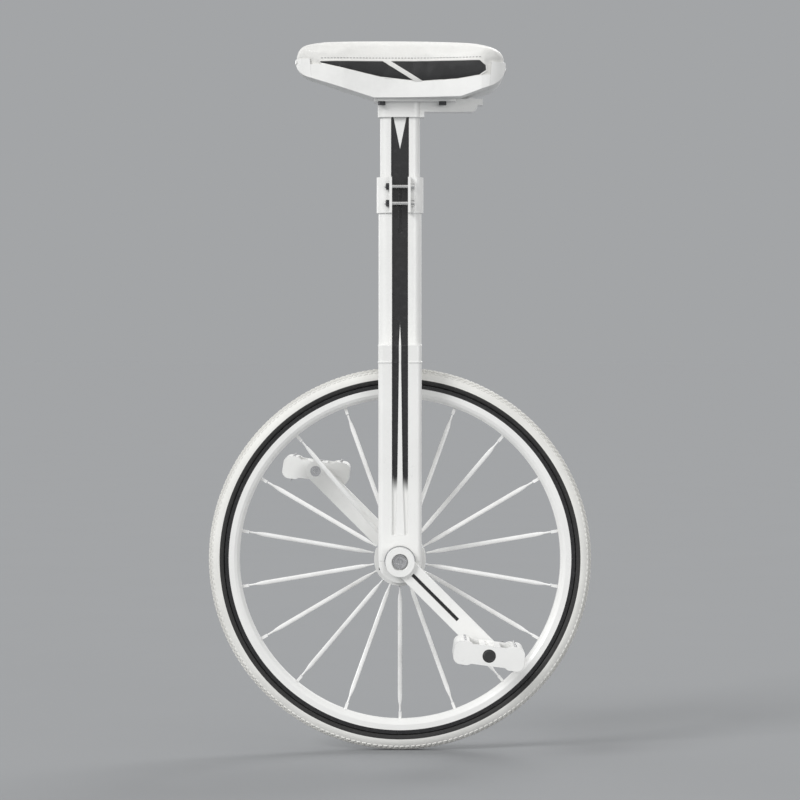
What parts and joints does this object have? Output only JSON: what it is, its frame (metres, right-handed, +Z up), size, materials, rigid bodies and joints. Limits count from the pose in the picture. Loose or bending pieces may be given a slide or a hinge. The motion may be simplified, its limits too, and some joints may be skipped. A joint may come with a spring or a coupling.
{
  "type": "unicycle",
  "caption": "Single-wheel cycle with a fluted fork and neck, radial bladed spokes, fixed cranks with platform pedals and a saddle on a sliding post.",
  "frame": {"origin": "the tyre's contact point on the ground, under the middle of the wheel", "axes": "+Z up; -X forwards, towards the saddle's nose; the axle lies along Y and the rider's left is -Y"},
  "size_m": [0.5049, 0.356, 0.9345],
  "materials": {
    "frame_paint": "white powder coat, black in the flutes",
    "white_alloy": "white powder coat over alloy",
    "spoke_steel": "white enamel on the blades, bright steel ends",
    "bright_steel": "zinc and nickel plate",
    "bearing_steel": "ground and polished",
    "dark_steel": "black oxide",
    "plate_steel": "plain pressed steel",
    "seal_rubber": "moulded",
    "tyre_rubber": "off-white tread and shoulders, black lower sidewalls",
    "tube_rubber": "butyl",
    "black_plastic": "moulded",
    "bush_plastic": "self-lubricating",
    "white_plastic": "moulded, lightly grained",
    "saddle_vinyl": "white grained vinyl",
    "panel_vinyl": "black grained vinyl",
    "piping": "white welt",
    "foam": "moulded foam"
  },
  "bodies": {
    "frame": {"leg_left": "frame_paint", "leg_right": "frame_paint", "fork_crown": "frame_paint", "neck_tube": "frame_paint", "bearing_cap_left": "frame_paint", "bearing_cap_right": "frame_paint", "cap_bolts": "dark_steel", "seat_clamp": "frame_paint", "clamp_bolts": "bright_steel", "clamp_nuts": "dark_steel", "outer_race_left": "bearing_steel", "outer_race_right": "bearing_steel", "bearing_seals": "seal_rubber"},
    "wheel": {"inner_race_left": "bearing_steel", "inner_race_right": "bearing_steel", "bearing_balls": "bearing_steel", "bearing_spacers": "dark_steel", "axle": "dark_steel", "hub_key": "dark_steel", "hub_shell": "white_alloy", "spokes_left": "spoke_steel", "spokes_right": "spoke_steel", "spoke_nipples": "bright_steel", "rim": "white_alloy", "rim_tape": "tube_rubber", "inner_tube": "tube_rubber", "tyre": "tyre_rubber", "valve_stem": "bright_steel", "valve_nut": "bright_steel", "valve_cap": "black_plastic", "crank_left": "white_alloy", "crank_right": "white_alloy", "crank_bolts": "bright_steel", "pedal_spindle_left": "bright_steel", "pedal_spindle_right": "bright_steel", "spindle_nuts": "bright_steel"},
    "pedal_left": {"pedal_body_left": "white_alloy", "pedal_bushes_left": "bush_plastic", "pedal_pins_left": "bright_steel", "pedal_cap_left": "black_plastic"},
    "pedal_right": {"pedal_body_right": "white_alloy", "pedal_bushes_right": "bush_plastic", "pedal_pins_right": "bright_steel", "pedal_cap_right": "black_plastic"},
    "saddle": {"seatpost": "frame_paint", "post_plug": "black_plastic", "seat_bracket": "white_alloy", "seat_base": "white_plastic", "stiffener_plate": "plate_steel", "bracket_bolts": "dark_steel", "bracket_nuts": "bright_steel", "seat_foam": "foam", "seat_cover": "saddle_vinyl", "side_panel_left": "panel_vinyl", "side_panel_right": "panel_vinyl", "seat_piping": "piping", "front_bumper": "white_plastic", "rear_bumper": "white_plastic", "bumper_screws": "dark_steel"}
  },
  "joints": [
    {"name": "wheel_spin", "type": "hinge", "parent": "frame", "child": "wheel", "pos_m": [0, 0, 0.2525], "axis": [0, -1, 0], "continuous": true},
    {"name": "pedal_left_spin", "type": "hinge", "parent": "wheel", "child": "pedal_left", "pos_m": [0.11314, -0.133, 0.13936], "axis": [0, -1, 0], "continuous": true},
    {"name": "pedal_right_spin", "type": "hinge", "parent": "wheel", "child": "pedal_right", "pos_m": [-0.11314, 0.133, 0.36564], "axis": [0, -1, 0], "continuous": true},
    {"name": "saddle_height", "type": "slide", "parent": "frame", "child": "saddle", "axis": [0, 0, 1], "range_m": [-0.075, 0.035]}
  ]
}
